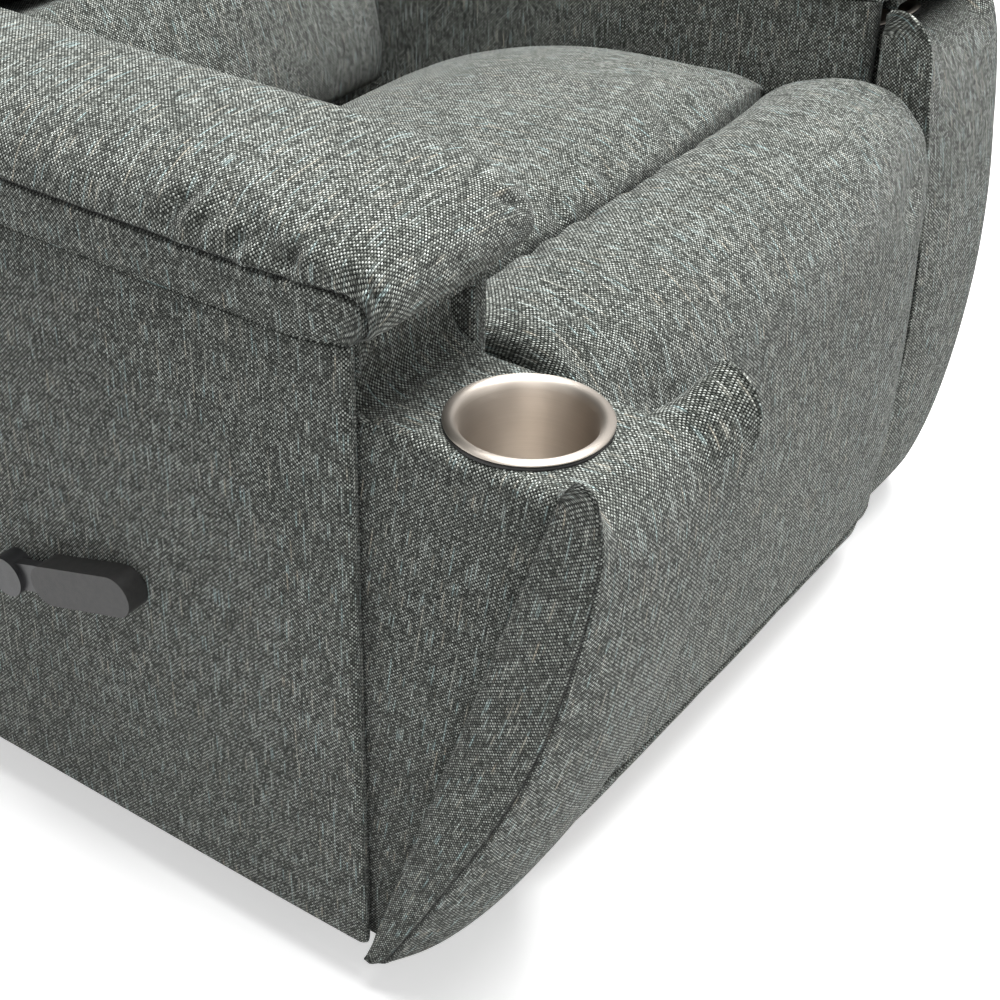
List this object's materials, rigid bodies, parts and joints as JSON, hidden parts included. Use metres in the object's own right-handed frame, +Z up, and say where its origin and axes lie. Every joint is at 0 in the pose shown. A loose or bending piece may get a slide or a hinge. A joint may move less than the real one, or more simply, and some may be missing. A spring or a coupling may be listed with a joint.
{
  "type": "rocker recliner",
  "caption": "Upholstered rocker recliner with pillow arms whose padded fronts tilt out to show a steel cup holder, a chaise footrest worked by a side lever and a reclining back.",
  "frame": {"origin": "centre of the footprint box on the floor with the sitter's right cup bin tilted out", "axes": "+Z up, the sitter faces -Y, so the sitter's right arm is at -X"},
  "size_m": [0.9463, 1.0568, 1.0276],
  "materials": {
    "tweed": "heathered grey-green tweed with pale slubs",
    "frame_wood": "bare hardwood and plywood",
    "black_steel": "black enamel",
    "zinc_steel": "zinc plated",
    "spring_steel": "oiled spring wire",
    "stainless_cup": "brushed inside, polished lip",
    "black_plastic": "moulded black"
  },
  "bodies": {
    "base": {"base_rails": "frame_wood", "base_crossbars": "frame_wood", "base_feet": "black_plastic", "rocker_springs": "spring_steel"},
    "rocking_frame": {"rocker_cams": "frame_wood", "front_stretcher": "frame_wood", "rear_stretcher": "frame_wood", "cam_bolts": "zinc_steel", "seat_rest_posts": "frame_wood", "rear_apron": "tweed", "back_pivot_blocks": "black_steel", "back_pivot_pins": "zinc_steel", "drive_tube_bushes": "black_plastic", "arm_left_outer_panel": "tweed", "arm_left_inner_panel": "tweed", "arm_left_frame": "frame_wood", "arm_left_pillow": "tweed", "arm_right_outer_panel": "tweed", "arm_right_inner_panel": "tweed", "arm_right_frame": "frame_wood", "arm_right_pillow": "tweed", "bin_left_hinge_leaf": "zinc_steel", "bin_right_hinge_leaf": "zinc_steel"},
    "bin_right": {"bin_right_carcass": "tweed", "bin_right_shelf": "tweed", "bin_right_cup": "stainless_cup", "bin_right_cup_gasket": "black_plastic", "bin_right_pad": "tweed", "bin_right_hinge_flap": "zinc_steel"},
    "bin_left": {"bin_left_carcass": "tweed", "bin_left_shelf": "tweed", "bin_left_cup": "stainless_cup", "bin_left_cup_gasket": "black_plastic", "bin_left_pad": "tweed", "bin_left_hinge_flap": "zinc_steel"},
    "seat": {"seat_side_rails": "frame_wood", "seat_cross_rails": "frame_wood", "seat_springs": "spring_steel", "seat_plates": "black_steel", "footrest_pivot_pins": "zinc_steel", "seat_cushion": "tweed", "chaise_top": "tweed", "chaise_nose": "tweed"},
    "footrest": {"footrest_board": "frame_wood", "footrest_pad": "tweed", "footrest_brackets": "black_steel"},
    "drive": {"drive_tube": "black_steel", "drive_cranks": "black_steel", "handle_lever": "black_steel", "handle_grip": "black_plastic"},
    "link_right": {"push_link_right": "black_steel"},
    "link_left": {"push_link_left": "black_steel"},
    "backrest": {"back_posts": "frame_wood", "back_rungs": "frame_wood", "back_shell": "tweed", "back_brackets": "black_steel", "lumbar_cushion": "tweed", "middle_cushion": "tweed", "head_cushion": "tweed"}
  },
  "joints": [
    {"name": "rock", "type": "hinge", "parent": "base", "child": "rocking_frame", "pos_m": [0, 0, 0.495], "axis": [-1, 0, 0], "range_deg": [-3, 6], "stiffness_Nm_per_rad": 420, "deforming": ["rocker_springs"]},
    {"name": "bin_right_tilt", "type": "hinge", "parent": "rocking_frame", "child": "bin_right", "pos_m": [0, -0.3375, 0.053], "axis": [-1, 0, 0], "range_deg": [0, 17.6]},
    {"name": "bin_left_tilt", "type": "hinge", "parent": "rocking_frame", "child": "bin_left", "pos_m": [0, -0.3375, 0.053], "axis": [1, 0, 0], "range_deg": [0, 17.6]},
    {"name": "recline", "type": "hinge", "parent": "rocking_frame", "child": "backrest", "pos_m": [0, 0.15, 0.305], "axis": [-1, 0, 0], "range_deg": [0, 32]},
    {"name": "seat_tilt", "type": "hinge", "parent": "rocking_frame", "child": "seat", "pos_m": [0, -0.005, 0.262], "axis": [-1, 0, 0], "range_deg": [0, 5]},
    {"name": "footrest_lift", "type": "hinge", "parent": "seat", "child": "footrest", "pos_m": [0, -0.345, 0.44], "axis": [-1, 0, 0], "range_deg": [0, 92], "deforming": ["chaise_nose"]},
    {"name": "drive_turn", "type": "hinge", "parent": "seat", "child": "drive", "pos_m": [0, -0.005, 0.262], "axis": [-1, 0, 0], "range_deg": [0, 92]},
    {"name": "link_right_turn", "type": "hinge", "parent": "drive", "child": "link_right", "pos_m": [0, 0.001, 0.157], "axis": [-1, 0, 0], "range_deg": [-92, 0]},
    {"name": "link_left_turn", "type": "hinge", "parent": "drive", "child": "link_left", "pos_m": [0, 0.001, 0.157], "axis": [-1, 0, 0], "range_deg": [-92, 0]}
  ],
  "couplings": [
    {"joint": "seat_tilt", "follows": "recline", "ratio": 0.15625},
    {"joint": "drive_turn", "follows": "footrest_lift", "ratio": 1},
    {"joint": "link_right_turn", "follows": "footrest_lift", "ratio": -1},
    {"joint": "link_left_turn", "follows": "footrest_lift", "ratio": -1}
  ]
}
